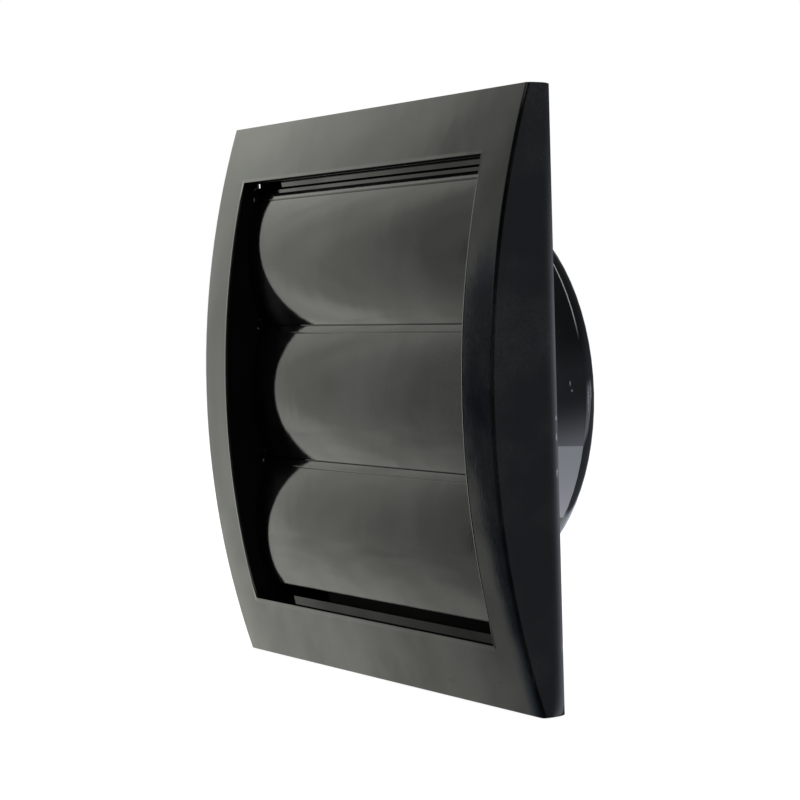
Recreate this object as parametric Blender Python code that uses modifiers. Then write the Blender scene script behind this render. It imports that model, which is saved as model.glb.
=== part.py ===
"""Exhaust vent hood: a bulged square frame, three gravity flaps and a round duct spigot.

Frame: metres, +Z up, the front faces -Y and the wall is the plane Y = 0.
The origin is the middle of the hood on the wall plane, which is the duct's axis.
"""
import math

import bmesh
import bpy
from mathutils import Matrix, Vector

MM = 0.001

# Front frame
FRAME_SIZE = 186.0 * MM
CORNER_DEPTH = 7.7 * MM
BULGE = 15.3 * MM
FRAME_WALL = 2.2 * MM
EDGE_ROUND = 1.2 * MM
LIP_ROUND = 0.9 * MM
SIDE_BORDER = 16.8 * MM
TOP_BORDER = 19.7 * MM
BOTTOM_BORDER = 20.1 * MM
TUNNEL_WALL = 1.8 * MM
RIB_THICKNESS = 1.4 * MM
RIB_SETBACK = 1.5 * MM

# Seat inside the opening
RAIL_FRONT = 6.2 * MM
RAIL_HEIGHT = 2.25 * MM
LEDGE_FRONT = 5.65 * MM
LEDGE_WIDTH = 1.4 * MM

# Flaps
FLAP_COUNT = 3
FLAP_RADIUS = 56.5 * MM
FLAP_TIP_DEPTH = 8.47 * MM
FLAP_THICKNESS = 1.2 * MM
FLAP_GAP = 0.4 * MM
FLAP_END_GAP = 0.8 * MM
TOP_PLAY = 0.75 * MM
BOTTOM_PLAY = 1.7 * MM
TONGUE_FRONT = 6.9 * MM
TONGUE_THICKNESS = 0.9 * MM
TONGUE_RISE = 1.35 * MM
GROOVE_DROP = 2.3 * MM
GROOVE_DEPTH = 0.25 * MM
GROOVE_WIDTH = 0.5 * MM

# Hinge pins and their holes
PIVOT_DEPTH = 8.2 * MM
PIVOT_RISE = 0.3 * MM
PIN_RADIUS = 1.4 * MM
PIN_PLAY = 0.5 * MM
LUG_RADIUS = 1.9 * MM
LUG_THICKNESS = 1.3 * MM
LUG_CLEARANCE = 0.4 * MM
SLOT_RISE = 3.3 * MM
SLOT_WIDTH = 2.1 * MM

# Spigot plate
PLATE_MARGIN = 1.6 * MM
PLATE_THICKNESS = 2.0 * MM
PLATE_SETBACK = 2.0 * MM
SPIGOT_INSET = 14.4 * MM
SPIGOT_WALL = 1.8 * MM
SPIGOT_END = 36.4 * MM
COLLAR_STEP = 0.4 * MM
COLLAR_LENGTH = 4.2 * MM
LEAD_IN_DEPTH = 1.6 * MM
LEAD_IN_LENGTH = 4.0 * MM
ROOT_FILLET = 2.0 * MM
SCREW_RADIUS = 2.3 * MM
SCREW_INSET = 8.5 * MM

# Clip hooks that hold the frame on the plate
HOOK_WIDTH = 10.0 * MM
HOOK_SPACING = 92.0 * MM
HOOK_REACH = 1.2 * MM
HOOK_LENGTH = 1.2 * MM
HOOK_INSET = 0.2 * MM
SEAT_GAP = 0.3 * MM

# Fineness
ARC_STEPS = 28
FLAP_STEPS = 20
RING_STEPS = 72
PIN_STEPS = 20
CORNER_STEPS = 2
LEAD_IN_STEPS = 6
EDGE_SEGMENTS = 4
LIP_SEGMENTS = 3
OVERCUT = 10.0 * MM
WELD = 0.001 * MM
TURN_MERGE = 0.01 * MM
FIND = 0.02 * MM
LIP_FIND = 0.5 * MM
HINGE_MARK = 10.0 * MM
FLAT_ANGLE = math.radians(0.05)
SHARP_ANGLE = math.radians(30.0)

# Worked out from the sizes above
HALF = FRAME_SIZE / 2
FRONT_RADIUS = (HALF ** 2 + BULGE ** 2) / (2 * BULGE)
PLATE_FRONT = -PLATE_SETBACK - PLATE_THICKNESS
TUNNEL_BACK = PLATE_FRONT - SEAT_GAP
OPEN_X = HALF - SIDE_BORDER
OPEN_TOP = HALF - TOP_BORDER
OPEN_BOTTOM = BOTTOM_BORDER - HALF
OPENING_HEIGHT = OPEN_TOP - OPEN_BOTTOM
OPENING_RISE = (OPEN_TOP + OPEN_BOTTOM) / 2
PLATE_HALF = OPEN_X + TUNNEL_WALL + PLATE_MARGIN
FLAP_HALF = OPEN_X - FLAP_END_GAP
SPIGOT_RADIUS = OPEN_X - SPIGOT_INSET
COLLAR_RADIUS = SPIGOT_RADIUS + COLLAR_STEP
STACK_TOP = OPEN_TOP - RAIL_HEIGHT - TOP_PLAY - TONGUE_RISE
STACK_BOTTOM = OPEN_BOTTOM + RAIL_HEIGHT + BOTTOM_PLAY
FLAP_PITCH = (STACK_TOP - STACK_BOTTOM + FLAP_GAP) / FLAP_COUNT
FLAP_REACH = (FLAP_PITCH - FLAP_GAP) / 2
FLAP_CROWN = FLAP_TIP_DEPTH + FLAP_RADIUS - math.sqrt(FLAP_RADIUS ** 2 - FLAP_REACH ** 2)
HOLE_RADIUS = PIN_RADIUS + PIN_PLAY
HOLE_LIFT = PIN_PLAY - SEAT_GAP


def new_collection(name):
    collection = bpy.data.collections.new(name)
    bpy.context.scene.collection.children.link(collection)
    return collection


def start_scene():
    """Empty the scene and make the two collections."""
    for item in list(bpy.data.objects):
        bpy.data.objects.remove(item, do_unlink=True)
    return new_collection("exhaust_vent_hood"), new_collection("cutters")


def moulded_plastic(name, color, roughness):
    material = bpy.data.materials.new(name)
    material.use_nodes = True
    shader = material.node_tree.nodes["Principled BSDF"]
    shader.inputs["Base Color"].default_value = (*color, 1.0)
    shader.inputs["Roughness"].default_value = roughness
    shader.inputs["Metallic"].default_value = 0.0
    return material


def add_mesh(name, mesh, collection):
    body = bpy.data.objects.new(name, mesh)
    collection.objects.link(body)
    return body


def block(name, low, high, collection):
    """A box between two corners."""
    mesh = bpy.data.meshes.new(name)
    shape = bmesh.new()
    bmesh.ops.create_cube(shape, size=1.0)
    low, high = Vector(low), Vector(high)
    size = high - low
    move = Matrix.Translation((low + high) / 2) @ Matrix.Diagonal((*size, 1.0))
    bmesh.ops.transform(shape, matrix=move, verts=shape.verts)
    shape.to_mesh(mesh)
    shape.free()
    return add_mesh(name, mesh, collection)


def rod(name, start, end, radius, collection, steps=PIN_STEPS):
    """A cylinder along X between two points."""
    mesh = bpy.data.meshes.new(name)
    shape = bmesh.new()
    length = end[0] - start[0]
    bmesh.ops.create_cone(shape, cap_ends=True, segments=steps, radius1=radius,
                          radius2=radius, depth=length)
    middle = (Vector(start) + Vector(end)) / 2
    move = Matrix.Translation(middle) @ Matrix.Rotation(math.pi / 2, 4, "Y")
    bmesh.ops.transform(shape, matrix=move, verts=shape.verts)
    shape.to_mesh(mesh)
    shape.free()
    return add_mesh(name, mesh, collection)


def as_mesh(body):
    """Replace an object by the mesh that its curve or modifiers give, with its place applied."""
    view = bpy.context.evaluated_depsgraph_get()
    mesh = bpy.data.meshes.new_from_object(body.evaluated_get(view))
    mesh.transform(body.matrix_world)
    shape = bmesh.new()
    shape.from_mesh(mesh)
    bmesh.ops.remove_doubles(shape, verts=shape.verts, dist=WELD)
    bmesh.ops.dissolve_limit(shape, angle_limit=FLAT_ANGLE, verts=shape.verts, edges=shape.edges)
    shape.to_mesh(mesh)
    shape.free()
    name = body.name
    collection = body.users_collection[0]
    bpy.data.objects.remove(body, do_unlink=True)
    solid = add_mesh(name, mesh, collection)
    mesh.name = name
    bpy.context.view_layer.update()
    return solid


def side_outline(name, points, half_width, collection):
    """Extrude an outline of (y, z) points along X, to half_width on each side."""
    curve = bpy.data.curves.new(name, "CURVE")
    curve.dimensions = "2D"
    curve.fill_mode = "BOTH"
    curve.extrude = half_width
    spline = curve.splines.new("POLY")
    spline.points.add(len(points) - 1)
    for point, (y, z) in zip(spline.points, points):
        point.co = (y, z, 0.0, 1.0)
    spline.use_cyclic_u = True
    body = bpy.data.objects.new(name, curve)
    collection.objects.link(body)
    body.matrix_world = Matrix(((0, 0, 1, 0), (1, 0, 0, 0), (0, 1, 0, 0), (0, 0, 0, 1)))
    bpy.context.view_layer.update()
    return as_mesh(body)


def arc(center, radius, start, end, steps):
    """Points on an arc in a plane, with angles measured from its first axis to its second."""
    points = []
    for step in range(steps + 1):
        angle = start + (end - start) * step / steps
        points.append((center[0] + radius * math.cos(angle), center[1] + radius * math.sin(angle)))
    return points


def boolean(body, other, operation):
    """Cut or join with another mesh, which moves to the cutters' display."""
    step = body.modifiers.new(operation.lower() + "_" + other.name, "BOOLEAN")
    step.operation = operation
    step.solver = "EXACT"
    step.object = other
    other.hide_render = True
    other.display_type = "WIRE"


def round_edges(body, chosen, width, segments):
    """Round only the edges that the test chooses."""
    mesh = body.data
    weight = mesh.attributes.get("bevel_weight_edge")
    if weight is None:
        weight = mesh.attributes.new("bevel_weight_edge", "FLOAT", "EDGE")
    for edge in mesh.edges:
        ends = [mesh.vertices[index].co for index in edge.vertices]
        weight.data[edge.index].value = 1.0 if chosen(*ends) else 0.0
    step = body.modifiers.new("rounding", "BEVEL")
    step.limit_method = "WEIGHT"
    step.width = width
    step.segments = segments
    step.use_clamp_overlap = False


def smooth(body):
    body.data.shade_smooth()
    body.data.set_sharp_from_angle(angle=SHARP_ANGLE)


def front_depth(z, inset=0.0):
    """How far the bulged front, or its inner face, stands off the wall at height z."""
    radius = FRONT_RADIUS - inset
    return CORNER_DEPTH - (FRONT_RADIUS - BULGE) + math.sqrt(radius ** 2 - z ** 2)


def bulged_block(name, inset, back, collection):
    """The hood's outer form, or the hollow inside it when inset by the wall."""
    half = HALF - inset
    radius = FRONT_RADIUS - inset
    center = (FRONT_RADIUS - BULGE - CORNER_DEPTH, 0.0)
    sweep = math.asin(half / radius)
    front = arc(center, radius, math.pi + sweep, math.pi - sweep, ARC_STEPS)
    points = [(back, half), (back, -half)] + front
    return side_outline(name, points, half, collection)


def flap_middle_height(index):
    """Height of the middle of a flap, counted from the top."""
    return STACK_TOP - FLAP_REACH - index * FLAP_PITCH


def pivot_height(index):
    return flap_middle_height(index) + FLAP_PITCH / 2 + PIVOT_RISE


def hollow_ring(cutters):
    """The space between the outer walls and the tunnel, open at the back."""
    hollow = bulged_block("hollow", FRAME_WALL, OVERCUT, cutters)
    tunnel = block("tunnel_keep", (-OPEN_X - TUNNEL_WALL, -FRAME_SIZE, OPEN_BOTTOM - TUNNEL_WALL),
                   (OPEN_X + TUNNEL_WALL, FRAME_SIZE, OPEN_TOP + TUNNEL_WALL), cutters)
    boolean(hollow, tunnel, "DIFFERENCE")
    return as_mesh(hollow)


def seat(cutters):
    """Rails above and below the flaps joined by a ledge down each side, as one ring."""
    sunk = TUNNEL_WALL / 2
    ring = block("seat", (-OPEN_X - sunk, -RAIL_FRONT, OPEN_BOTTOM - sunk),
                 (OPEN_X + sunk, PLATE_FRONT, OPEN_TOP + sunk), cutters)
    window = block("seat_window", (-OPEN_X + LEDGE_WIDTH, -FRAME_SIZE, OPEN_BOTTOM + RAIL_HEIGHT),
                   (OPEN_X - LEDGE_WIDTH, FRAME_SIZE, OPEN_TOP - RAIL_HEIGHT), cutters)
    boolean(ring, window, "DIFFERENCE")
    for side, name in ((-1, "left_step"), (1, "right_step")):
        low, high = sorted((side * (OPEN_X - 2 * LEDGE_WIDTH), side * HALF))
        step = block(name, (low, -FRAME_SIZE, OPEN_BOTTOM + RAIL_HEIGHT),
                     (high, -LEDGE_FRONT, OPEN_TOP - RAIL_HEIGHT), cutters)
        boolean(ring, step, "DIFFERENCE")
    return as_mesh(ring)


def stiffening_ribs(cutters):
    """Thin walls across the hollow, hidden behind the front."""
    pieces = []
    sunk = TUNNEL_WALL / 2
    reach = HALF - FRAME_WALL / 2
    for side in (-1, 1):
        for index in range(FLAP_COUNT):
            z = flap_middle_height(index)
            low, high = sorted((side * (OPEN_X + sunk), side * reach))
            front = -front_depth(z, FRAME_WALL / 2)
            pieces.append(block("side_rib", (low, front, z - RIB_THICKNESS / 2),
                                (high, TUNNEL_BACK - RIB_SETBACK, z + RIB_THICKNESS / 2), cutters))
    for x in (-OPEN_X / 2, 0.0, OPEN_X / 2):
        for low, high in ((OPEN_TOP + sunk, reach), (-reach, OPEN_BOTTOM - sunk)):
            front = -front_depth(reach, FRAME_WALL / 2)
            pieces.append(block("cross_rib", (x - RIB_THICKNESS / 2, front, low),
                                (x + RIB_THICKNESS / 2, TUNNEL_BACK - RIB_SETBACK, high), cutters))
    return pieces


def clip_hooks(cutters):
    """Hooks on the tunnel's back edge that snap over the plate."""
    catch = SEAT_GAP - PLATE_SETBACK
    near, far = HOOK_INSET, TUNNEL_WALL - HOOK_INSET
    outline = [
        (TUNNEL_BACK - RIB_SETBACK, near),
        (TUNNEL_BACK - RIB_SETBACK, far),
        (catch, far),
        (catch, far + HOOK_REACH),
        (catch + HOOK_LENGTH, far),
        (catch + HOOK_LENGTH, near),
    ]
    pieces = []
    for edge in range(4):
        lift = OPENING_RISE if edge % 2 else 0.0
        start = OPEN_X if edge % 2 == 0 else OPENING_HEIGHT / 2
        for place in (-HOOK_SPACING / 2, HOOK_SPACING / 2):
            points = [(y, start + out) for y, out in outline]
            hook = side_outline("hook", points, HOOK_WIDTH / 2, cutters)
            turn = Matrix.Rotation(math.radians(90.0 * edge + 90.0), 4, "Y")
            hook.data.transform(Matrix.Translation((0.0, 0.0, lift)) @ turn
                                @ Matrix.Translation((place, 0.0, 0.0)))
            pieces.append(hook)
    return pieces


def pivot_holes(cutters):
    """A round hole with a snap-in slot above its back half, through both tunnel walls."""
    front_side = HOLE_RADIUS - SLOT_WIDTH
    meet = math.acos(front_side / HOLE_RADIUS)
    rim = arc((0.0, 0.0), HOLE_RADIUS, 0.0, meet - 2 * math.pi, PIN_STEPS)
    outline = [(HOLE_RADIUS, SLOT_RISE)] + rim + [(front_side, SLOT_RISE)]
    pieces = []
    for index in range(FLAP_COUNT):
        z = pivot_height(index) + HOLE_LIFT
        for side in (-1, 1):
            hole = side_outline("pivot_hole", outline, TUNNEL_WALL, cutters)
            middle = side * (OPEN_X + TUNNEL_WALL / 2)
            hole.data.transform(Matrix.Translation((middle, -PIVOT_DEPTH, z)))
            pieces.append(hole)
    return pieces


def on_side_edge(first, second):
    """True for the curved edges down the left and right of the front."""
    beside = min(abs(first.x), abs(second.x)) > HALF - FIND and abs(first.x - second.x) < FIND
    at_front = max(first.y, second.y) < FIND - CORNER_DEPTH
    along = abs(first.z - second.z) > FIND
    return beside and at_front and along


def on_lip(first, second):
    """True for the curved edges where the front meets the left and right of the opening."""
    for point in (first, second):
        if abs(abs(point.x) - OPEN_X) > FIND:
            return False
        if point.y > -front_depth(point.z) + LIP_FIND:
            return False
    across = abs(first.x - second.x) > FIND
    along = abs(first.z - second.z) > FIND
    return along and not across


def front_frame(collection, cutters, material):
    """The bulged shell with its opening, seat, hinge holes, ribs and hooks."""
    frame = bulged_block("front_frame", 0.0, 0.0, collection)
    round_edges(frame, on_side_edge, EDGE_ROUND, EDGE_SEGMENTS)
    opening = block("opening", (-OPEN_X, -FRAME_SIZE, OPEN_BOTTOM),
                    (OPEN_X, FRAME_SIZE, OPEN_TOP), cutters)
    for cutter in (hollow_ring(cutters), opening):
        boolean(frame, cutter, "DIFFERENCE")
    frame = as_mesh(frame)
    round_edges(frame, on_lip, LIP_ROUND, LIP_SEGMENTS)
    boolean(frame, seat(cutters), "UNION")
    pocket_half = PLATE_HALF + SEAT_GAP
    pocket = block("plate_pocket", (-pocket_half, TUNNEL_BACK, -pocket_half),
                   (pocket_half, FRAME_SIZE, pocket_half), cutters)
    boolean(frame, pocket, "DIFFERENCE")
    for piece in stiffening_ribs(cutters) + clip_hooks(cutters):
        boolean(frame, piece, "UNION")
    for cutter in pivot_holes(cutters):
        boolean(frame, cutter, "DIFFERENCE")
    frame.data.materials.append(material)
    smooth(frame)
    return frame


def flap_outline(z):
    """A flap's section: a crowned blade with a groove, and a tongue behind its top edge."""
    center = (FLAP_RADIUS - FLAP_CROWN, z)
    sweep = math.asin(FLAP_REACH / FLAP_RADIUS)
    groove = math.asin((FLAP_REACH - GROOVE_DROP) / FLAP_RADIUS)
    half_groove = GROOVE_WIDTH / 2 / FLAP_RADIUS
    back_radius = FLAP_RADIUS - FLAP_THICKNESS
    back_sweep = math.asin(FLAP_REACH / back_radius)
    top = z + FLAP_REACH
    tongue_back = -TONGUE_FRONT + TONGUE_THICKNESS
    points = arc(center, FLAP_RADIUS, math.pi + sweep, math.pi - groove + half_groove, FLAP_STEPS)
    bottom_radius = FLAP_RADIUS - GROOVE_DEPTH
    points.append((center[0] - bottom_radius * math.cos(groove), z + bottom_radius * math.sin(groove)))
    points += arc(center, FLAP_RADIUS, math.pi - groove - half_groove, math.pi - sweep, CORNER_STEPS)
    points.append((-TONGUE_FRONT, top))
    points.append((-TONGUE_FRONT, top + TONGUE_RISE))
    points.append((tongue_back, top + TONGUE_RISE))
    points.append((tongue_back, top - TONGUE_RISE))
    inner = math.asin((FLAP_REACH - 2 * TONGUE_RISE) / back_radius)
    points += arc(center, back_radius, math.pi - inner, math.pi + back_sweep, FLAP_STEPS)
    return points


def flap(name, index, collection, cutters, material):
    """One flap, with its pins, hung from an empty on its hinge axis."""
    z = pivot_height(index)
    hinge = bpy.data.objects.new(name + "_hinge", None)
    hinge.empty_display_size = HINGE_MARK
    hinge.location = (0.0, -PIVOT_DEPTH, z)
    collection.objects.link(hinge)
    blade = side_outline(name, flap_outline(flap_middle_height(index)), FLAP_HALF, collection)
    for side in (-1, 1):
        lug_start = FLAP_HALF - LUG_THICKNESS
        low, high = sorted((side * lug_start, side * FLAP_HALF))
        boolean(blade, rod("lug", (low, -PIVOT_DEPTH, z), (high, -PIVOT_DEPTH, z),
                           LUG_RADIUS, cutters), "UNION")
        low, high = sorted((side * lug_start, side * (OPEN_X + TUNNEL_WALL - SEAT_GAP)))
        boolean(blade, rod("pin", (low, -PIVOT_DEPTH, z), (high, -PIVOT_DEPTH, z),
                           PIN_RADIUS, cutters), "UNION")
        notch_top = z - FLAP_PITCH + LUG_RADIUS + LUG_CLEARANCE
        low, high = sorted((side * (lug_start - LUG_CLEARANCE), side * HALF))
        boolean(blade, block("lug_notch", (low, -FLAP_CROWN, z - 2 * FLAP_PITCH),
                             (high, 0.0, notch_top), cutters), "DIFFERENCE")
    blade = as_mesh(blade)
    blade.data.transform(Matrix.Translation((0.0, PIVOT_DEPTH, -z)))
    blade.parent = hinge
    blade.data.materials.append(material)
    smooth(blade)
    return blade


def spigot_tube(cutters):
    """The round duct spigot, turned about its axis, with a collar that narrows to the end."""
    inner = SPIGOT_RADIUS - SPIGOT_WALL
    collar_start = SPIGOT_END - COLLAR_LENGTH
    profile = [(inner, SPIGOT_END)]
    for outward, along in arc((0.0, 0.0), 1.0, math.pi / 2, 0.0, LEAD_IN_STEPS):
        profile.append((COLLAR_RADIUS - LEAD_IN_DEPTH * (1.0 - outward),
                        SPIGOT_END - LEAD_IN_LENGTH * (1.0 - along)))
    profile += [
        (COLLAR_RADIUS, collar_start),
        (SPIGOT_RADIUS, collar_start - COLLAR_STEP),
        (SPIGOT_RADIUS, PLATE_FRONT + PLATE_THICKNESS + ROOT_FILLET),
        (SPIGOT_RADIUS + ROOT_FILLET, PLATE_FRONT + PLATE_THICKNESS),
        (SPIGOT_RADIUS + ROOT_FILLET, PLATE_FRONT),
        (inner, PLATE_FRONT),
    ]
    mesh = bpy.data.meshes.new("spigot_tube")
    shape = bmesh.new()
    ring = [shape.verts.new((radius, 0.0, height)) for radius, height in profile]
    for first, second in zip(ring, ring[1:] + ring[:1]):
        shape.edges.new((first, second))
    shape.to_mesh(mesh)
    shape.free()
    tube = add_mesh("spigot_tube", mesh, cutters)
    turning = tube.modifiers.new("turning", "SCREW")
    turning.axis = "Z"
    turning.steps = RING_STEPS
    turning.render_steps = RING_STEPS
    turning.merge_threshold = TURN_MERGE
    turning.use_merge_vertices = True
    tube.rotation_euler = (-math.pi / 2, 0.0, 0.0)
    bpy.context.view_layer.update()
    return as_mesh(tube)


def spigot_plate(collection, cutters, material):
    """The square back plate, its duct spigot, screw holes and hook notches."""
    plate_back = PLATE_FRONT + PLATE_THICKNESS
    plate = block("spigot_plate", (-PLATE_HALF, PLATE_FRONT, -PLATE_HALF),
                  (PLATE_HALF, plate_back, PLATE_HALF), collection)
    bore = rod("bore", (-FRAME_SIZE, 0.0, 0.0), (FRAME_SIZE, 0.0, 0.0),
               SPIGOT_RADIUS - SPIGOT_WALL / 2, cutters, RING_STEPS)
    bore.data.transform(Matrix.Rotation(math.pi / 2, 4, "Z"))
    boolean(plate, bore, "DIFFERENCE")
    boolean(plate, spigot_tube(cutters), "UNION")
    place = OPEN_X - SCREW_INSET
    for x in (-place, place):
        for z in (-place, place):
            hole = rod("screw_hole", (-OVERCUT, 0.0, 0.0), (OVERCUT, 0.0, 0.0), SCREW_RADIUS, cutters)
            hole.data.transform(Matrix.Translation((x, 0.0, z)) @ Matrix.Rotation(math.pi / 2, 4, "Z"))
            boolean(plate, hole, "DIFFERENCE")
    notch_half = HOOK_WIDTH / 2 + SEAT_GAP
    for edge in range(4):
        turn = Matrix.Rotation(math.radians(90.0 * edge + 90.0), 4, "Y")
        lift = OPENING_RISE if edge % 2 else 0.0
        start = (OPEN_X if edge % 2 == 0 else OPENING_HEIGHT / 2) - SEAT_GAP
        for offset in (-HOOK_SPACING / 2, HOOK_SPACING / 2):
            notch = block("hook_notch", (offset - notch_half, -OVERCUT, start),
                          (offset + notch_half, OVERCUT, HALF), cutters)
            notch.data.transform(Matrix.Translation((0.0, 0.0, lift)) @ turn)
            boolean(plate, notch, "DIFFERENCE")
    plate.data.materials.append(material)
    smooth(plate)
    return plate


def main():
    collection, cutters = start_scene()
    front_frame(collection, cutters, moulded_plastic("frame_black", (0.012, 0.013, 0.014), 0.28))
    spigot_plate(collection, cutters, moulded_plastic("spigot_black", (0.012, 0.013, 0.014), 0.30))
    for index, name in enumerate(("flap_top", "flap_middle", "flap_bottom")):
        flap(name, index, collection, cutters,
             moulded_plastic(name + "_black", (0.010, 0.011, 0.011), 0.18))


main()
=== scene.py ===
"""Dresses the exhaust vent hood: refined mouldings, their plastics, the studio and the camera.

Metres, +Z up. The front faces -Y, the wall is the plane Y = 0 and the duct runs along Y.
"""
import math

import bmesh
import bpy
from mathutils import Matrix, Vector


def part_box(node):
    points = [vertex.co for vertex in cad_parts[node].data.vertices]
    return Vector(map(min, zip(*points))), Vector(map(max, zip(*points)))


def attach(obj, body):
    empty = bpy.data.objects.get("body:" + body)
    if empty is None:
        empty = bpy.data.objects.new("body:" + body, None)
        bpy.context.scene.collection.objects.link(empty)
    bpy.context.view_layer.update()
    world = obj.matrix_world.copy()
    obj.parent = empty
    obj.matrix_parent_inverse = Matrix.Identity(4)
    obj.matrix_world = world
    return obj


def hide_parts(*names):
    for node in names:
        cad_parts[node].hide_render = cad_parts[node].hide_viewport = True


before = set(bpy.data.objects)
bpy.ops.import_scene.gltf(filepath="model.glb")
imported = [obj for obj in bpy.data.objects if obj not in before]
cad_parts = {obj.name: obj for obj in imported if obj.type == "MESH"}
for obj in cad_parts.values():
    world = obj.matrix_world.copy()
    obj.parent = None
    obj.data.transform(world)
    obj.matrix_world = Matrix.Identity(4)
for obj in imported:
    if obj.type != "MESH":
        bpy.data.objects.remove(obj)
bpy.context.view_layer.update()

bl_info = {
    "name": "Exhaust Vent Hood",
    "version": (1, 0, 0),
    "blender": (4, 5, 0),
    "location": "View3D > Sidebar > Vent Hood",
    "description": "Dresses a louvred exhaust vent hood in moulded plastic and sets up its studio",
    "category": "Object",
}

MM = 0.001
HOUSING = "housing"
FLAP_BODIES = {
    "flap_top": "top_flap",
    "flap_middle": "middle_flap",
    "flap_bottom": "bottom_flap",
}
FRAME_LOW, FRAME_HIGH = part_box("front_frame")
HALF = FRAME_HIGH.x

# Camera, from the eight corners of the hood in the photograph
CAMERA_PLACE = (0.6574, -0.3923, 0.0312)
CAMERA_YAW = math.radians(59.047)
CAMERA_PITCH = math.radians(2.475)
CAMERA_ROLL = math.radians(-1.619)
CAMERA_LENS = 105.36
SENSOR_WIDTH = 36.0

# Places on the mouldings
OPEN_X = 76.2 * MM
OPEN_Z = 73.1 * MM
TUNNEL_REACH = 0.35 * MM
FRONT_FACES = -8.0 * MM
BEAD_WIDTH = 1.5 * MM
BEAD_HEIGHT = 0.07 * MM
PLATE_FACE = -1.9 * MM
SEAT_TOP = -71.5 * MM
SILL_HEIGHTS = (-72.0 * MM, -69.5 * MM)
SILL_DEPTHS = (-7.5 * MM, -4.3 * MM)
CEILING_BEAD_PLACE = (1.9 * MM, -9.0 * MM, 73.3 * MM)
CEILING_BEAD_SIZE = (148.4 * MM, 0.5 * MM, 0.56 * MM)
FLAP_CUT = 1.9 * MM
TUBE_END = 31.8 * MM
TUBE_RADIUS = 61.8 * MM
COLLAR_RADIUS = 62.18 * MM
RIM_REACH = 0.5 * MM
RIM_STEPS = ((-4.0 * MM, 0.0), (-2.4 * MM, 0.025 * MM), (-1.2 * MM, 0.08 * MM),
             (-0.5 * MM, 0.17 * MM), (0.0, 0.30 * MM))

# Plastics
# Painted light: the three flaps are one plastic; each gets its own reflection strength so that it matches
# how brightly it is lit
FLAP_LIGHTING_LEVELS = {"flap_top": 0.48, "flap_middle": 0.40, "flap_bottom": 0.53}
# Painted shade: the flaps' haze fades out towards their left end, next to the tunnel's left wall, between
# these two x places
LEFT_END_SHADE_SPAN = (-70.0 * MM, -58.0 * MM)
TUNNEL_GLOSS = 0.42
MATTE_GLOSS = 0.05
WEAR_AND_HIGHLIGHT_ROUGHNESS = 0.55

# Studio
ACROSS = (0.48, -0.88, 0.0)
ALONG = (0.88, 0.48, 0.0)
FRONT_END = (0.54, -0.84, 0.0)
LEFT_LAMP = (-0.50, 0.0, 0.866)
FRONT_LAMP = (0.30, -0.50, 0.81)
ALONG_CARD = math.radians(26.0)
CARD_PLACE = (0.1128, 0.0888)
CARD_SIZE = (0.128, 0.024)
WALL_SIZE = (2.0, 1.2)
WARM_WHITE = (1.02, 1.04, 0.94)
COOL_WHITE = (0.93, 0.98, 1.09)
ROOM_GREY = (0.91, 0.985, 1.12)
ROOM_BLUE = (0.76, 0.97, 1.26)
PAST_END = 0.065

# Wear and painted highlights, as the centre and the half size of each mark in mm
SCRATCHES = (
    ((61.7, 26.5, 3.4), (0.9, 0.35, 1.2)),
    ((61.8, 27.1, 1.2), (0.9, 0.55, 0.55)),
    ((62.2, 33.2, -1.5), (0.9, 0.35, 6.5)),
    ((62.2, 34.4, 1.0), (0.9, 0.25, 4.5)),
)
# Painted highlights: pale marks where small bumps on the side wall's rear edge catch light
REAR_EDGE_HIGHLIGHTS = (
    ((92.9, -0.45, -5.0), (0.5, 0.4, 1.0)),
    ((92.9, -0.5, -10.6), (0.5, 0.35, 1.6)),
    ((92.9, -0.6, -21.3), (0.5, 0.5, 1.9)),
)
# Painted highlights: pale marks at the rims of the pivot holes on the tunnel's left wall, where they catch
# light
PIVOT_HOLE_HIGHLIGHTS = (
    ((-76.2, -9.8, 67.4), (0.5, 0.35, 1.1)),
    ((-76.2, -9.6, 22.3), (0.5, 0.55, 0.45)),
    ((-76.2, -9.3, -24.0), (0.5, 0.3, 1.5)),
)
SMUDGES = (
    ((45.6, -9.4, -87.4), (3.4, 3.0, 1.6)),
    ((70.2, -9.9, -86.4), (2.2, 3.0, 2.2)),
    ((73.6, -9.9, -84.4), (1.6, 3.0, 1.8)),
)


class VentPlasticSettings(bpy.types.PropertyGroup):
    """Colours and surface finish of the mouldings."""

    frame_colour: bpy.props.FloatVectorProperty(
        name="Frame colour", description="Carbon black of the front frame",
        subtype="COLOR", size=3, min=0.0, max=1.0, default=(0.0013, 0.0014, 0.0015))
    flap_colour: bpy.props.FloatVectorProperty(
        name="Flap colour", description="Black of the three flaps",
        subtype="COLOR", size=3, min=0.0, max=1.0, default=(0.0013, 0.0014, 0.0014))
    spigot_colour: bpy.props.FloatVectorProperty(
        name="Spigot colour", description="Black of the duct spigot and its plate",
        subtype="COLOR", size=3, min=0.0, max=1.0, default=(0.0016, 0.0018, 0.0020))
    frame_roughness: bpy.props.FloatProperty(
        name="Frame roughness", description="Satin of the frame's moulded face",
        min=0.0, max=1.0, default=0.07, subtype="FACTOR")
    tunnel_roughness: bpy.props.FloatProperty(
        name="Tunnel roughness", description="Polish of the walls inside the opening",
        min=0.0, max=1.0, default=0.025, subtype="FACTOR")
    flap_roughness: bpy.props.FloatProperty(
        name="Flap roughness", description="Polish of the flaps",
        min=0.0, max=1.0, default=0.07, subtype="FACTOR")
    spigot_roughness: bpy.props.FloatProperty(
        name="Spigot roughness", description="Polish of the spigot",
        min=0.0, max=1.0, default=0.04, subtype="FACTOR")
    plate_roughness: bpy.props.FloatProperty(
        name="Plate roughness", description="Matte texture of the plate behind the flaps",
        min=0.0, max=1.0, default=0.70, subtype="FACTOR")


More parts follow.
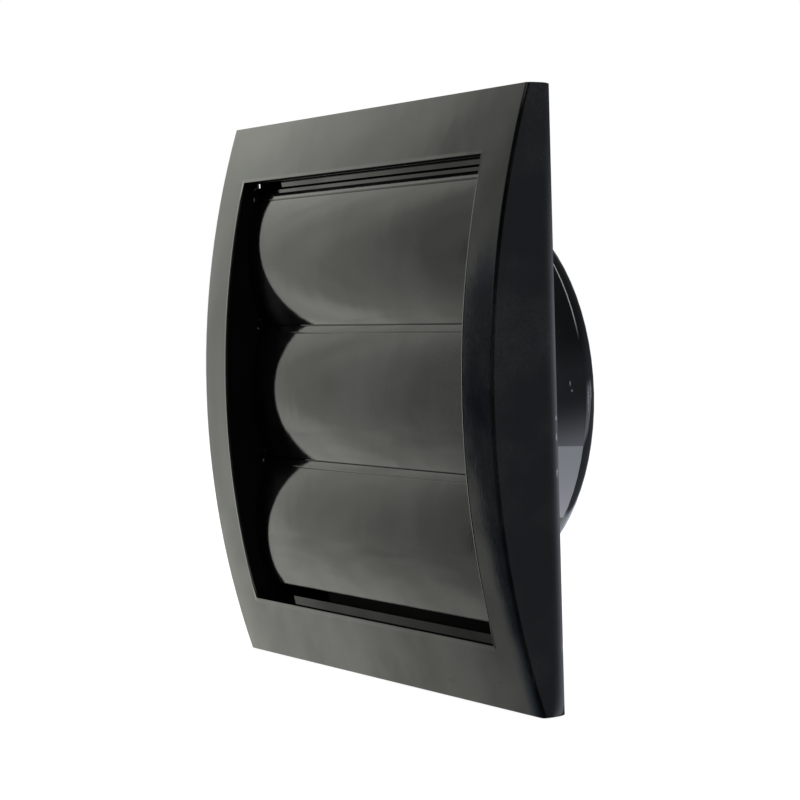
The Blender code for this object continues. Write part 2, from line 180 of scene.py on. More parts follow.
class VentEdgeSettings(bpy.types.PropertyGroup):
    """Small rounding that a mould leaves along every edge."""

    frame_edge: bpy.props.FloatProperty(
        name="Frame edges", description="Rounding of the frame's remaining sharp edges",
        min=0.0, default=0.32 * MM, subtype="DISTANCE", unit="LENGTH", precision=5)
    flap_edge: bpy.props.FloatProperty(
        name="Flap edges", description="Rounding of the flaps' sharp edges",
        min=0.0, default=0.12 * MM, subtype="DISTANCE", unit="LENGTH", precision=5)
    spigot_edge: bpy.props.FloatProperty(
        name="Spigot edges", description="Rounding of the spigot's sharp edges",
        min=0.0, default=0.22 * MM, subtype="DISTANCE", unit="LENGTH", precision=5)


class VentStudioSettings(bpy.types.PropertyGroup):
    """Lamps, floor, light wall and world."""

    side_power: bpy.props.FloatProperty(
        name="Side panel", description="Power of the large panel to the left",
        min=0.0, default=5.0, unit="POWER")
    top_power: bpy.props.FloatProperty(
        name="Top panel", description="Power of the panel overhead",
        min=0.0, default=4.0, unit="POWER")
    rear_power: bpy.props.FloatProperty(
        name="Rear panel", description="Power of the panel behind and to the right",
        min=0.0, default=2.0, unit="POWER")
    room_level: bpy.props.FloatProperty(
        name="Room level", description="How bright the room lights matte surfaces",
        min=0.0, max=1.0, default=0.5, subtype="FACTOR")
    wall_distance: bpy.props.FloatProperty(
        name="Light wall distance", description="From the duct axis to the lit wall on the left",
        min=0.1, default=0.30, subtype="DISTANCE", unit="LENGTH")
    card_level: bpy.props.FloatProperty(
        name="Rear card", description="Brightness of the lit sheet behind the spigot",
        min=0.0, default=4.2)
    floor_colour: bpy.props.FloatVectorProperty(
        name="Floor colour", description="Pale sweep under the hood",
        subtype="COLOR", size=3, min=0.0, max=1.0, default=(0.85, 0.86, 0.88))


def select_only(piece):
    """Make one object the only selected and active one."""
    if bpy.context.mode != "OBJECT":
        bpy.ops.object.mode_set(mode="OBJECT")
    bpy.ops.object.select_all(action="DESELECT")
    piece.select_set(True)
    bpy.context.view_layer.objects.active = piece


def node_copy(node_name, piece_name):
    """A merged copy of a CAD node's mesh, as a new piece, with flat faces made whole."""
    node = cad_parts[node_name]
    mesh = node.data.copy()
    mesh.name = piece_name
    mesh.materials.clear()
    piece = bpy.data.objects.new(piece_name, mesh)
    bpy.context.scene.collection.objects.link(piece)
    select_only(piece)
    if mesh.has_custom_normals:
        bpy.ops.mesh.customdata_custom_splitnormals_clear()
    bpy.ops.object.mode_set(mode="EDIT")
    bpy.ops.mesh.select_all(action="SELECT")
    bpy.ops.mesh.remove_doubles(threshold=0.001 * MM)
    bpy.ops.mesh.dissolve_limited(angle_limit=math.radians(0.05))
    bpy.ops.object.mode_set(mode="OBJECT")
    return piece


def soften_edges(piece, width, segments=2):
    """Round what is sharp, as a mould does, and shade by face area."""
    select_only(piece)
    rounding = piece.modifiers.new("moulded_edges", "BEVEL")
    rounding.limit_method = "ANGLE"
    rounding.angle_limit = math.radians(32.0)
    rounding.width = width
    rounding.segments = segments
    rounding.use_clamp_overlap = True
    rounding.miter_outer = "MITER_ARC"
    bpy.ops.object.modifier_apply(modifier=rounding.name)
    bpy.ops.object.shade_smooth_by_angle(angle=math.radians(35.0))
    weighting = piece.modifiers.new("face_weighting", "WEIGHTED_NORMAL")
    weighting.keep_sharp = True
    weighting.weight = 90
    bpy.ops.object.modifier_apply(modifier=weighting.name)


def link(tree, start, end):
    tree.links.new(start, end)


def add_node(tree, kind, **inputs):
    """A shader node with some of its sockets set by name."""
    made = tree.nodes.new(kind)
    for name, value in inputs.items():
        made.inputs[name.replace("_", " ")].default_value = value
    return made


def dot(tree, vector, direction):
    """How far a position or a direction lies along a given direction."""
    made = tree.nodes.new("ShaderNodeVectorMath")
    made.operation = "DOT_PRODUCT"
    made.inputs[1].default_value = direction
    link(tree, vector, made.inputs[0])
    return made.outputs["Value"]


def ease(tree, value, start, end, low, high, kind="SMOOTHSTEP"):
    """A value that goes from low to high while the input goes from start to end."""
    made = tree.nodes.new("ShaderNodeMapRange")
    made.interpolation_type = kind
    made.inputs["From Min"].default_value = start
    made.inputs["From Max"].default_value = end
    made.inputs["To Min"].default_value = low
    made.inputs["To Max"].default_value = high
    link(tree, value, made.inputs["Value"])
    return made.outputs["Result"]


def blend(tree, factor, first, second):
    """A value between two others, each a socket or a number."""
    made = tree.nodes.new("ShaderNodeMix")
    made.data_type = "FLOAT"
    link(tree, factor, made.inputs["Factor"])
    for socket, value in (("A", first), ("B", second)):
        if isinstance(value, float):
            made.inputs[socket].default_value = value
        else:
            link(tree, value, made.inputs[socket])
    return made.outputs["Result"]


def mix_colours(tree, factor, first, second):
    """A colour between two others."""
    made = tree.nodes.new("ShaderNodeMix")
    made.data_type = "RGBA"
    made.inputs["A"].default_value = (*first, 1.0)
    made.inputs["B"].default_value = (*second, 1.0)
    link(tree, factor, made.inputs["Factor"])
    return made.outputs["Result"]


def noise(tree, place, scale, detail=2.0, roughness=0.5):
    """A noise texture on the piece's own coordinates."""
    made = add_node(tree, "ShaderNodeTexNoise", Scale=scale, Detail=detail, Roughness=roughness)
    link(tree, place.outputs["Object"], made.inputs["Vector"])
    return made


def bump(tree, height, distance, before=None):
    """A bump of this height, on top of another one."""
    made = add_node(tree, "ShaderNodeBump", Strength=1.0, Distance=distance)
    link(tree, height, made.inputs["Height"])
    if before:
        link(tree, before.outputs["Normal"], made.inputs["Normal"])
    return made


def moulded_plastic(name, colour, roughness, waves, grain, haze, cloud=0.0):
    """Black moulded plastic: soft sink waves, a fine grain and a cloudy haze.

    The nodes named place, tint, gloss and fine are there for what a piece adds.
    """
    material = bpy.data.materials.new(name)
    material.use_nodes = True
    tree = material.node_tree
    shader = tree.nodes["Principled BSDF"]
    shader.inputs["Metallic"].default_value = 0.0
    shader.inputs["IOR"].default_value = 1.5
    place = tree.nodes.new("ShaderNodeTexCoord")
    place.name = "place"

    clouds = noise(tree, place, 26.0, 3.0, 0.55)
    specks = noise(tree, place, 1500.0, 1.0)
    haze_amount = maths(tree, "MULTIPLY",
                        ease(tree, clouds.outputs["Fac"], 0.38, 0.64, 0.05, 1.0),
                        ease(tree, specks.outputs["Fac"], 0.30, 0.70, 0.35, 1.0))
    tint = tree.nodes.new("ShaderNodeMix")
    tint.name = "tint"
    tint.data_type = "RGBA"
    tint.inputs["A"].default_value = (*[channel * 0.5 for channel in colour], 1.0)
    tint.inputs["B"].default_value = (*[channel + cloud for channel in colour], 1.0)
    link(tree, haze_amount, tint.inputs["Factor"])
    link(tree, tint.outputs["Result"], shader.inputs["Base Color"])

    gloss = add_node(tree, "ShaderNodeMapRange")
    gloss.name = "gloss"
    gloss.inputs["From Min"].default_value = 0.3
    gloss.inputs["From Max"].default_value = 0.7
    gloss.inputs["To Min"].default_value = roughness - haze
    gloss.inputs["To Max"].default_value = roughness + haze
    link(tree, clouds.outputs["Fac"], gloss.inputs["Value"])
    link(tree, gloss.outputs["Result"], shader.inputs["Roughness"])

    sink = bump(tree, noise(tree, place, 42.0, 2.0).outputs["Fac"], waves)
    peel = bump(tree, noise(tree, place, 190.0, 2.0).outputs["Fac"], waves * 0.10, sink)
    fine = bump(tree, noise(tree, place, 1500.0, 2.0).outputs["Fac"], grain, peel)
    fine.name = "fine"
    link(tree, fine.outputs["Normal"], shader.inputs["Normal"])
    return material


def matte_plastic(name, plastic):
    """The same plastic with the fine spark texture of the faces that nobody polishes."""
    material = moulded_plastic(name, plastic.frame_colour, plastic.plate_roughness,
                               0.01 * MM, 0.01 * MM, 0.05)
    material.node_tree.nodes["Principled BSDF"].inputs["Specular IOR Level"].default_value = MATTE_GLOSS
    return material


def maths(tree, operation, first, second):
    """A sum, a product or the like of a socket and a number or another socket."""
    made = tree.nodes.new("ShaderNodeMath")
    made.operation = operation
    link(tree, first, made.inputs[0])
    if isinstance(second, float):
        made.inputs[1].default_value = second
    else:
        link(tree, second, made.inputs[1])
    return made.outputs["Value"]


def mark(tree, centre, half_size):
    """One in the middle of a small ellipsoid and nought outside it; both in mm."""
    place = tree.nodes["place"].outputs["Object"]
    moved = tree.nodes.new("ShaderNodeVectorMath")
    moved.operation = "SUBTRACT"
    moved.inputs[1].default_value = [part * MM for part in centre]
    link(tree, place, moved.inputs[0])
    scaled = tree.nodes.new("ShaderNodeVectorMath")
    scaled.operation = "DIVIDE"
    scaled.inputs[1].default_value = [part * MM for part in half_size]
    link(tree, moved.outputs["Vector"], scaled.inputs[0])
    size = tree.nodes.new("ShaderNodeVectorMath")
    size.operation = "LENGTH"
    link(tree, scaled.outputs["Vector"], size.inputs[0])
    return ease(tree, size.outputs["Value"], 0.3, 1.0, 1.0, 0.0)


def tint_over(tree, share, colour):
    """Lay a colour over the base colour that the shader has so far."""
    base = tree.nodes["Principled BSDF"].inputs["Base Color"]
    before = base.links[0].from_socket
    mixed = mix_colours(tree, share, colour, colour)
    link(tree, before, mixed.node.inputs["A"])
    link(tree, mixed, base)


def add_wear_and_highlights(material, marks, colour, strength):
    """Scuffs, and painted highlights, in another colour, at the places where the photo shows them."""
    tree = material.node_tree
    shader = tree.nodes["Principled BSDF"]
    scuff_and_glint_mask = None
    for centre, half_size in marks:
        spot = mark(tree, centre, half_size)
        scuff_and_glint_mask = maths(tree, "MAXIMUM", spot, scuff_and_glint_mask) if scuff_and_glint_mask else spot
    flecks = noise(tree, tree.nodes["place"], 900.0, 2.0)
    patchy = ease(tree, flecks.outputs["Fac"], 0.35, 0.6, strength * 0.4, strength)
    scuff_and_glint_mask = maths(tree, "MULTIPLY", scuff_and_glint_mask, patchy)
    tint_over(tree, scuff_and_glint_mask, colour)
    roughness = shader.inputs["Roughness"].links[0].from_socket
    link(tree, blend(tree, scuff_and_glint_mask, roughness, WEAR_AND_HIGHLIGHT_ROUGHNESS), shader.inputs["Roughness"])


def add_bead(material):
    """The front swells a little where it meets the opening."""
    tree = material.node_tree
    place = tree.nodes["place"].outputs["Object"]
    beside = maths(tree, "SUBTRACT", maths(tree, "ABSOLUTE", dot(tree, place, (1.0, 0.0, 0.0)), 0.0), OPEN_X)
    above = maths(tree, "SUBTRACT", maths(tree, "ABSOLUTE", dot(tree, place, (0.0, 0.0, 1.0)), 0.0), OPEN_Z)
    swell = ease(tree, maths(tree, "MAXIMUM", beside, above), 0.0, BEAD_WIDTH, 1.0, 0.0)
    bead = bump(tree, swell, BEAD_HEIGHT, tree.nodes["fine"])
    link(tree, bead.outputs["Normal"], tree.nodes["Principled BSDF"].inputs["Normal"])


class VENTHOOD_OT_front_frame(bpy.types.Operator):
    """Refine the bulged front frame and give it its satin plastic"""

    bl_idname = "venthood.front_frame"
    bl_label = "Front frame"

    def execute(self, context):
        plastic = context.scene.vent_plastic
        edges = context.scene.vent_edges
        piece = node_copy("front_frame", "frame_moulding")
        back_rim(piece)
        lower_the_sill(piece)
        ceiling_bead(piece)
        soften_edges(piece, edges.frame_edge)
        satin = moulded_plastic("frame_plastic_satin", plastic.frame_colour,
                                plastic.frame_roughness, 0.09 * MM, 0.007 * MM, 0.02, 0.013)
        add_bead(satin)
        dull = matte_plastic("recess_plastic_matte", plastic)
        # Painted highlights: pale marks where small bumps on the side wall's rear edge catch light
        add_wear_and_highlights(satin, REAR_EDGE_HIGHLIGHTS, (0.45, 0.47, 0.50), 0.8)
        add_wear_and_highlights(satin, SMUDGES, (0.001, 0.001, 0.001), 0.6)
        polish = moulded_plastic("tunnel_plastic_polished", plastic.frame_colour,
                                 plastic.tunnel_roughness, 0.01 * MM, 0.0005 * MM, 0.005)
        # Painted highlights: pale marks at the rims of the pivot holes on the tunnel's left wall
        add_wear_and_highlights(dull, PIVOT_HOLE_HIGHLIGHTS, (0.30, 0.30, 0.30), 0.8)
        gloss = polish.node_tree.nodes["Principled BSDF"].inputs["Specular IOR Level"]
        gloss.default_value = TUNNEL_GLOSS
        for finish in (satin, polish, dull):
            piece.data.materials.append(finish)
        polish_the_tunnel(piece)
        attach(piece, HOUSING)
        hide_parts("front_frame")
        return {"FINISHED"}


def paint_left_end_shade(material):
    """Painted shade: keep the haze off the flap's left end, next to the tunnel's left wall, which is plain
    black in the photograph.
    """
    tree = material.node_tree
    place = tree.nodes["place"].outputs["Object"]
    tint = tree.nodes["tint"].inputs["Factor"]
    haze = tint.links[0].from_socket
    reached = ease(tree, dot(tree, place, (1.0, 0.0, 0.0)), *LEFT_END_SHADE_SPAN, 0.0, 1.0)
    # Painted shade: no haze left of the first place, so the left end stays plain black
    link(tree, maths(tree, "MULTIPLY", haze, reached), tint)


def shorten(piece):
    """The lowest flap ends a little above the sill, with the dark gap below it."""
    select_only(piece)
    low = min(corner.co.z for corner in piece.data.vertices) + FLAP_CUT
    bpy.ops.object.mode_set(mode="EDIT")
    bpy.ops.mesh.select_all(action="SELECT")
    bpy.ops.mesh.bisect(plane_co=(0.0, 0.0, low), plane_no=(0.0, 0.0, 1.0), use_fill=True, clear_inner=True)
    bpy.ops.object.mode_set(mode="OBJECT")


class VENTHOOD_OT_flaps(bpy.types.Operator):
    """Refine the three flaps and give them their polished plastic"""

    bl_idname = "venthood.flaps"
    bl_label = "Flaps"

    def execute(self, context):
        plastic = context.scene.vent_plastic
        edges = context.scene.vent_edges
        for node_name, body in FLAP_BODIES.items():
            piece = node_copy(node_name, node_name + "_moulding")
            if node_name == "flap_bottom":
                shorten(piece)
            soften_edges(piece, edges.flap_edge)
            finish = moulded_plastic(node_name + "_plastic", plastic.flap_colour,
                                     plastic.flap_roughness, 0.09 * MM, 0.006 * MM, 0.01, 0.020)
            # Painted light: this flap's reflection strength is set by how brightly it is lit
            gloss = finish.node_tree.nodes["Principled BSDF"].inputs["Specular IOR Level"]
            gloss.default_value = FLAP_LIGHTING_LEVELS[node_name]
            paint_left_end_shade(finish)
            piece.data.materials.append(finish)
            piece.data.materials.append(matte_plastic("flap_end_plastic", plastic))
            for face in piece.data.polygons:
                if abs(face.normal.x) > 0.9:
                    face.material_index = 1
            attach(piece, body)
            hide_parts(node_name)
        return {"FINISHED"}


def back_rim(piece):
    """Draw the outer walls in a little towards the wall plane, in a soft curve."""
    select_only(piece)
    bpy.ops.object.mode_set(mode="EDIT")
    shape = bmesh.from_edit_mesh(piece.data)
    for height, inset in RIM_STEPS:
        bpy.ops.mesh.select_mode(type="FACE")
        bpy.ops.mesh.select_all(action="DESELECT")
        for face in shape.faces:
            middle = face.calc_center_median()
            beside = abs(face.normal.x) > 0.9 and abs(middle.x) > HALF - RIM_REACH
            above = abs(face.normal.z) > 0.9 and abs(middle.z) > HALF - RIM_REACH
            face.select = beside or above
        bmesh.update_edit_mesh(piece.data)
        if height < 0.0:
            bpy.ops.mesh.bisect(plane_co=(0.0, height, 0.0), plane_no=(0.0, 1.0, 0.0))
            shape = bmesh.from_edit_mesh(piece.data)
        bpy.ops.mesh.select_mode(type="VERT")
        bpy.ops.mesh.select_all(action="DESELECT")
        for corner in shape.verts:
            outside = max(abs(corner.co.x), abs(corner.co.z)) > HALF - RIM_REACH
            corner.select = outside and abs(corner.co.y - height) < 0.01 * MM
        bmesh.update_edit_mesh(piece.data)
        if inset > 0.0:
            share = 1.0 - inset / HALF
            bpy.ops.transform.resize(value=(share, 1.0, share), center_override=(0.0, height, 0.0))
            shape = bmesh.from_edit_mesh(piece.data)
    bpy.ops.object.mode_set(mode="OBJECT")


def ceiling_bead(piece):
    """A fine moulded line across the opening's ceiling, joined to the frame."""
    bpy.ops.mesh.primitive_cube_add(size=1.0, location=CEILING_BEAD_PLACE)
    bead = bpy.context.object
    bead.scale = CEILING_BEAD_SIZE
    bpy.ops.object.transform_apply(location=True, rotation=True, scale=True)
    piece.select_set(True)
    bpy.context.view_layer.objects.active = piece
    bpy.ops.object.join()


def lower_the_sill(piece):
    """The rail below the lowest flap stands a little lower than the other rails."""
    select_only(piece)
    for corner in piece.data.vertices:
        inside = abs(corner.co.x) < OPEN_X + TUNNEL_REACH
        on_top = SILL_HEIGHTS[0] < corner.co.z < SILL_HEIGHTS[1]
        at_rail = SILL_DEPTHS[0] < corner.co.y < SILL_DEPTHS[1]
        if inside and on_top and at_rail:
            corner.co.z = min(corner.co.z, SEAT_TOP)


def polish_the_tunnel(piece):
    """Inside the opening, the ceiling and left wall are dull and the rest is polished."""
    for face in piece.data.polygons:
        in_front = face.normal.y < -0.3 and face.center.y < FRONT_FACES
        inside = abs(face.center.x) < OPEN_X + TUNNEL_REACH and abs(face.center.z) < OPEN_Z + TUNNEL_REACH
        if inside and not in_front:
            ceiling = face.normal.z < -0.9 and face.center.z > OPEN_Z
            left_wall = face.normal.x > 0.9
            face.material_index = 2 if ceiling or left_wall else 1


def close_the_step(piece):
    """The duct tube widens to meet the collar, which leaves a fine line and no dark step."""
    for corner in piece.data.vertices:
        radius = math.hypot(corner.co.x, corner.co.z)
        if abs(radius - TUBE_RADIUS) < 0.1 * MM and abs(corner.co.y - TUBE_END) < 0.1 * MM:
            corner.co.x *= COLLAR_RADIUS / radius
            corner.co.z *= COLLAR_RADIUS / radius


def paint_collar_highlight(material):
    """A painted highlight: a pale line along the upper part of the collar's front edge, where its rounded
    edge catches light from above.
    """
    tree = material.node_tree
    place = tree.nodes["place"].outputs["Object"]
    away = maths(tree, "SUBTRACT", dot(tree, place, (0.0, 1.0, 0.0)), TUBE_END)
    near = ease(tree, maths(tree, "ABSOLUTE", away, 0.0), 0.10 * MM, 0.28 * MM, 1.0, 0.0)
    high = ease(tree, dot(tree, place, (0.0, 0.0, 1.0)), 16.0 * MM, 26.0 * MM, 0.0, 1.0)
    # Painted highlight: pale colour only near the collar's front edge and high up
    tint_over(tree, maths(tree, "MULTIPLY", near, high), (0.42, 0.43, 0.41))


def give_plate_its_face(piece):
    """The plate in front of the duct takes the second material."""
    for face in piece.data.polygons:
        if face.center.y < PLATE_FACE:
            face.material_index = 1


class VENTHOOD_OT_spigot(bpy.types.Operator):
    """Refine the back plate with its duct spigot"""

    bl_idname = "venthood.spigot"
    bl_label = "Spigot plate"

    def execute(self, context):
        plastic = context.scene.vent_plastic
        edges = context.scene.vent_edges
        piece = node_copy("spigot_plate", "spigot_moulding")
        close_the_step(piece)
        soften_edges(piece, edges.spigot_edge)
        finish = moulded_plastic("spigot_plastic_gloss", plastic.spigot_colour,
                                 plastic.spigot_roughness, 0.02 * MM, 0.0005 * MM, 0.01, 0.008)
        # Painted highlight along the top of the collar's front edge
        paint_collar_highlight(finish)
        add_wear_and_highlights(finish, SCRATCHES, (0.35, 0.36, 0.38), 0.7)
        texture = matte_plastic("plate_plastic_matte", plastic)
        piece.data.materials.append(finish)
        piece.data.materials.append(texture)
        give_plate_its_face(piece)
        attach(piece, HOUSING)
        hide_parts("spigot_plate")
        return {"FINISHED"}


def aimed_at(place, target):
    """The turn that points a lamp's or camera's -Z axis from place to target."""
    return (Vector(target) - Vector(place)).to_track_quat("-Z", "Y").to_euler()


def panel_lamp(name, place, target, size, power, colour):
    """A rectangular soft lamp."""
    bpy.ops.object.light_add(type="AREA", location=place, rotation=aimed_at(place, target))
    lamp = bpy.context.object
    lamp.name = name
    lamp.data.shape = "RECTANGLE"
    lamp.data.size, lamp.data.size_y = size
    lamp.data.energy = power
    lamp.data.color = colour
    lamp.visible_glossy = False
    return lamp


def fall_off(tree, vector):
    """The room's light: bright to the left and behind, dimmer towards the right and front."""
    across = dot(tree, vector, ACROSS)
    bright = ease(tree, across, -0.030, 0.022, 1.48, 0.78, "LINEAR")
    dim = ease(tree, across, 0.022, 0.050, 0.0, -0.24, "LINEAR")
    lamp = ease(tree, across, -0.085, -0.032, 0.9, 0.0, "LINEAR")
    total = maths(tree, "ADD", maths(tree, "ADD", bright, dim), lamp)
    spread = tree.nodes.new("ShaderNodeCombineXYZ")
    link(tree, across, spread.inputs["X"])
    link(tree, maths(tree, "MULTIPLY", dot(tree, vector, ALONG), 0.15), spread.inputs["Y"])
    link(tree, maths(tree, "MULTIPLY", dot(tree, vector, (0.0, 0.0, 1.0)), 0.10), spread.inputs["Z"])
    streaks = add_node(tree, "ShaderNodeTexNoise", Scale=48.0, Detail=4.0, Roughness=0.6)
    link(tree, spread.outputs["Vector"], streaks.inputs["Vector"])
    uneven = maths(tree, "MULTIPLY", total, ease(tree, streaks.outputs["Fac"], 0.32, 0.68, 0.83, 1.15))
    return maths(tree, "MULTIPLY", uneven, ease(tree, across, -0.15, -0.09, 0.14, 1.0))


def glow(tree, strength, colour):
    """Light of a socket's strength and colour."""
    made = tree.nodes.new("ShaderNodeEmission")
    link(tree, colour, made.inputs["Color"])
    link(tree, strength, made.inputs["Strength"])
    return made.outputs["Emission"]


def horizon(tree, direction):
    """The room's level by direction: dark in front, with a lit band low down behind."""
    rearward = dot(tree, direction, (0.0, 1.0, 0.0))
    near = ease(tree, rearward, -0.10, 0.52, 0.03, 0.25, "LINEAR")
    off_band = maths(tree, "ABSOLUTE", maths(tree, "ADD", dot(tree, direction, (0.0, 0.0, 1.0)), 0.08), 0.0)
    band = ease(tree, off_band, 0.07, 0.16, 1.0, 0.06)
    far = maths(tree, "MULTIPLY", ease(tree, rearward, 0.57, 0.95, 0.0, 2.2), band)
    far = maths(tree, "MULTIPLY", far, ease(tree, rearward, 0.86, 0.92, 1.0, 0.04))
    return maths(tree, "ADD", near, far)


def pale_floor(colour):
    """White to the camera, a graded white in the gloss and a pale matte sweep to the rest."""
    material = bpy.data.materials.new("studio_floor")
    material.use_nodes = True
    tree = material.node_tree
    matte = tree.nodes["Principled BSDF"]
    matte.inputs["Base Color"].default_value = (*colour, 1.0)
    matte.inputs["Roughness"].default_value = 0.9
    place = tree.nodes.new("ShaderNodeTexCoord").outputs["Object"]
    level = fall_off(tree, place)
    ended = ease(tree, dot(tree, place, FRONT_END), 0.0520, 0.0560, 0.0, 1.0)
    level = blend(tree, ended, level, PAST_END)
    outward = tree.nodes.new("ShaderNodeVectorMath")
    outward.operation = "SUBTRACT"
    outward.inputs[1].default_value = (HALF, -5.0 * MM, 0.0)
    link(tree, place, outward.inputs[0])
    heading = tree.nodes.new("ShaderNodeVectorMath")
    heading.operation = "NORMALIZE"
    link(tree, outward.outputs["Vector"], heading.inputs[0])
    beside = ease(tree, dot(tree, place, (1.0, 0.0, 0.0)), 0.092, 0.100, 0.0, 1.0)
    behind = ease(tree, dot(tree, place, (0.0, 1.0, 0.0)), 0.070, 0.085, 0.0, 1.0)
    beyond = maths(tree, "MAXIMUM", beside, behind)
    far_away = ease(tree, dot(tree, heading.outputs["Vector"], (0.0, 0.0, 1.0)), -0.48, -0.14, 0.10, 1.0)
    outlook = horizon(tree, heading.outputs["Vector"])
    level = blend(tree, beyond, level, maths(tree, "MULTIPLY", outlook, far_away))
    front_colour = mix_colours(tree, ended, WARM_WHITE, ROOM_BLUE)
    colour = mix_colours(tree, beyond, WARM_WHITE, ROOM_GREY)
    link(tree, front_colour, colour.node.inputs["A"])
    rays = tree.nodes.new("ShaderNodeLightPath")
    gloss = tree.nodes.new("ShaderNodeMixShader")
    link(tree, rays.outputs["Is Glossy Ray"], gloss.inputs["Fac"])
    link(tree, matte.outputs["BSDF"], gloss.inputs[1])
    link(tree, glow(tree, level, colour), gloss.inputs[2])
    light = add_node(tree, "ShaderNodeEmission", Strength=0.93)
    lit = add_node(tree, "ShaderNodeBsdfDiffuse", Color=(0.25, 0.25, 0.25, 1.0))
    white = tree.nodes.new("ShaderNodeAddShader")
    link(tree, light.outputs["Emission"], white.inputs[0])
    link(tree, lit.outputs["BSDF"], white.inputs[1])
    mix = tree.nodes.new("ShaderNodeMixShader")
    link(tree, rays.outputs["Is Camera Ray"], mix.inputs["Fac"])
    link(tree, gloss.outputs["Shader"], mix.inputs[1])
    link(tree, white.outputs["Shader"], mix.inputs[2])
    link(tree, mix.outputs["Shader"], tree.nodes["Material Output"].inputs["Surface"])
    return material


def seen_in_gloss_only(piece):
    """Leave a lit surface out of everything but reflections."""
    piece.visible_camera = False
    piece.visible_diffuse = False
    piece.visible_shadow = False


def light_wall(distance, floor_height):
    """The lit wall on the left, which ends where the room is open towards the front."""
    width, height = WALL_SIZE
    bpy.ops.mesh.primitive_plane_add(
        size=1.0, location=(-distance, 0.0, floor_height + height / 2), rotation=(0.0, math.pi / 2, 0.0))
    wall = bpy.context.object
    wall.name = "light_wall"
    wall.scale = (height, width, 1.0)
    bpy.ops.object.transform_apply(location=True, rotation=True, scale=True)
    material = bpy.data.materials.new("lit_wall")
    material.use_nodes = True
    tree = material.node_tree
    tree.nodes.remove(tree.nodes["Principled BSDF"])
    place = tree.nodes.new("ShaderNodeTexCoord").outputs["Object"]
    level = fall_off(tree, place)
    low = ease(tree, dot(tree, place, (0.0, 0.0, 1.0)), 0.17, 0.07, 0.0, 1.0)
    past_end = ease(tree, dot(tree, place, (0.0, 1.0, 0.0)), -0.2480, -0.2580, 0.0, 1.0)
    ended = maths(tree, "MULTIPLY", low, past_end)
    level = blend(tree, ended, level, PAST_END)
    colour = mix_colours(tree, ended, WARM_WHITE, ROOM_BLUE)
    link(tree, glow(tree, level, colour), tree.nodes["Material Output"].inputs["Surface"])
    wall.data.materials.append(material)
    seen_in_gloss_only(wall)


def rear_card(level, floor_height):
    """A lit sheet on the floor behind the hood, which the spigot's underside mirrors."""
    bpy.ops.mesh.primitive_plane_add(size=1.0, location=(*CARD_PLACE, floor_height + 1.0 * MM),
                                     rotation=(0.0, 0.0, ALONG_CARD))
    card = bpy.context.object
    card.name = "rear_card"
    card.scale = (*CARD_SIZE, 1.0)
    bpy.ops.object.transform_apply(location=True, rotation=True, scale=True)
    material = bpy.data.materials.new("lit_card")
    material.use_nodes = True
    tree = material.node_tree
    tree.nodes.remove(tree.nodes["Principled BSDF"])
    light = add_node(tree, "ShaderNodeEmission", Color=(*COOL_WHITE, 1.0), Strength=level)
    link(tree, light.outputs["Emission"], tree.nodes["Material Output"].inputs["Surface"])
    card.data.materials.append(material)
    seen_in_gloss_only(card)


def room_world(level):
    """Even light for matte surfaces, a room that is dark in front and lit behind in the gloss,
    and white to the camera."""
    world = bpy.data.worlds.new("studio")
    world.use_nodes = True
    tree = world.node_tree
    back = tree.nodes["Background"]
    direction = tree.nodes.new("ShaderNodeTexCoord").outputs["Generated"]
    seen = horizon(tree, direction)
    upward = dot(tree, direction, (0.0, 0.0, 1.0))
    shaded = maths(tree, "MULTIPLY", seen, ease(tree, upward, 0.1, 0.5, 1.0, 0.45))
    shaded = maths(tree, "ADD", shaded, ease(tree, dot(tree, direction, LEFT_LAMP), 0.66, 0.86, 0.0, 2.6))
    shaded = maths(tree, "ADD", shaded, ease(tree, dot(tree, direction, FRONT_LAMP), 0.90, 0.96, 0.0, 7.0))
    rays = tree.nodes.new("ShaderNodeLightPath")
    unseen = blend(tree, rays.outputs["Is Glossy Ray"], level, shaded)
    strength = blend(tree, rays.outputs["Is Camera Ray"], unseen, 1.0)
    shade = mix_colours(tree, rays.outputs["Is Glossy Ray"], (1.0, 1.0, 1.0), ROOM_GREY)
    link(tree, shade, back.inputs["Color"])
    link(tree, strength, back.inputs["Strength"])
    bpy.context.scene.world = world


def photo_camera():
    """The camera at the photograph's view."""
    back = Vector((math.sin(CAMERA_YAW) * math.cos(CAMERA_PITCH),
                   -math.cos(CAMERA_YAW) * math.cos(CAMERA_PITCH), math.sin(CAMERA_PITCH)))
    right = (-back).cross(Vector((0.0, 0.0, 1.0))).normalized()
    up = right.cross(-back)
    turned_right = math.cos(CAMERA_ROLL) * right + math.sin(CAMERA_ROLL) * up
    turned_up = math.cos(CAMERA_ROLL) * up - math.sin(CAMERA_ROLL) * right
    axes = Matrix((turned_right, turned_up, back)).transposed()
    bpy.ops.object.camera_add(location=CAMERA_PLACE, rotation=axes.to_euler())
    camera = bpy.context.object
    camera.data.lens = CAMERA_LENS
    camera.data.sensor_width = SENSOR_WIDTH
    camera.data.clip_start = 0.01
    camera.data.clip_end = 20.0
    bpy.context.scene.camera = camera


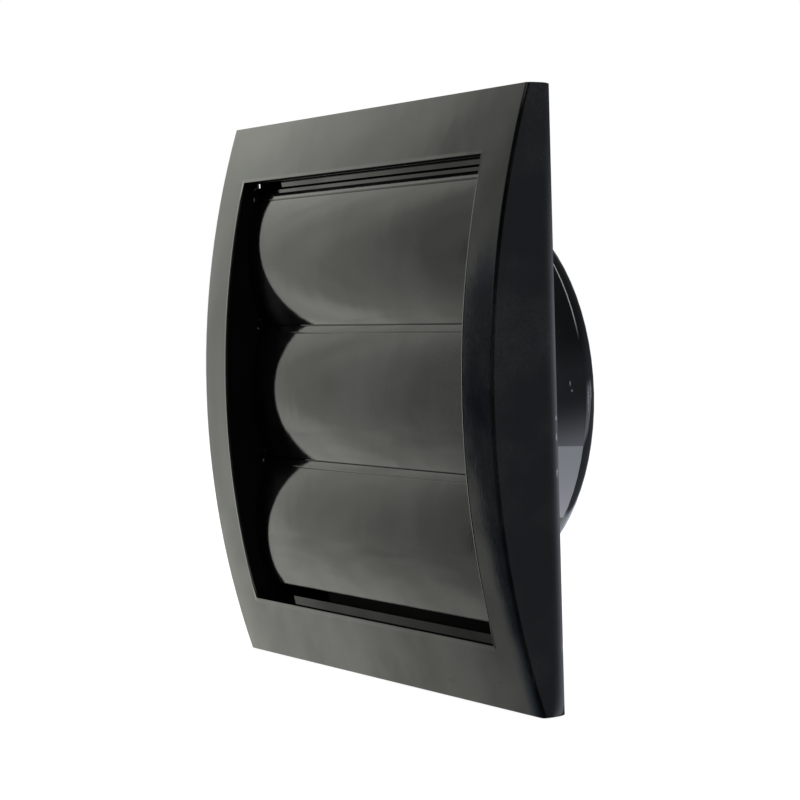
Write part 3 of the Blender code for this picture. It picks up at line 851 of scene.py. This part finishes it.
class VENTHOOD_OT_studio(bpy.types.Operator):
    """Add the pale floor, the soft lamps, the world and the camera"""

    bl_idname = "venthood.studio"
    bl_label = "Studio"

    def execute(self, context):
        studio = context.scene.vent_studio
        bpy.ops.mesh.primitive_plane_add(size=6.0, location=(0.0, 0.0, FRAME_LOW.z - 0.5 * MM))
        floor = bpy.context.object
        floor.name = "floor"
        floor.data.materials.append(pale_floor(studio.floor_colour))
        light_wall(studio.wall_distance, FRAME_LOW.z)
        rear_card(studio.card_level, FRAME_LOW.z)
        panel_lamp("side_panel", (-0.9, -0.1, 0.25), (0.0, 0.0, 0.0), (0.9, 0.9),
                   studio.side_power, (1.0, 1.0, 0.98))
        panel_lamp("top_panel", (-0.2, -0.2, 0.9), (0.0, 0.0, 0.0), (1.2, 1.2),
                   studio.top_power, (1.0, 1.0, 1.0))
        panel_lamp("rear_panel", (0.7, 0.7, 0.2), (0.0, 0.0, 0.0), (0.7, 0.9),
                   studio.rear_power, (0.92, 0.96, 1.0))
        room_world(studio.room_level)
        photo_camera()
        context.scene.view_settings.view_transform = "Standard"
        return {"FINISHED"}


class VENTHOOD_PT_panel(bpy.types.Panel):
    """Sidebar panel that lists the steps and their settings"""

    bl_idname = "VENTHOOD_PT_panel"
    bl_label = "Exhaust Vent Hood"
    bl_space_type = "VIEW_3D"
    bl_region_type = "UI"
    bl_category = "Vent Hood"

    def draw(self, context):
        layout = self.layout
        for step in STEPS:
            layout.operator(step.bl_idname)
        for group in (context.scene.vent_plastic, context.scene.vent_edges, context.scene.vent_studio):
            box = layout.box()
            for name in group.bl_rna.properties.keys():
                if name not in ("rna_type", "name"):
                    box.prop(group, name)


SETTINGS = {
    "vent_plastic": VentPlasticSettings,
    "vent_edges": VentEdgeSettings,
    "vent_studio": VentStudioSettings,
}
STEPS = (
    VENTHOOD_OT_studio,
    VENTHOOD_OT_front_frame,
    VENTHOOD_OT_flaps,
    VENTHOOD_OT_spigot,
)


def register():
    for kind in (*SETTINGS.values(), *STEPS, VENTHOOD_PT_panel):
        bpy.utils.register_class(kind)
    for name, kind in SETTINGS.items():
        setattr(bpy.types.Scene, name, bpy.props.PointerProperty(type=kind))


def unregister():
    for name in SETTINGS:
        delattr(bpy.types.Scene, name)
    for kind in reversed((*SETTINGS.values(), *STEPS, VENTHOOD_PT_panel)):
        bpy.utils.unregister_class(kind)


def main():
    register()
    bpy.ops.venthood.studio()
    bpy.ops.venthood.front_frame()
    bpy.ops.venthood.flaps()
    bpy.ops.venthood.spigot()


if __name__ == "__main__":
    main()
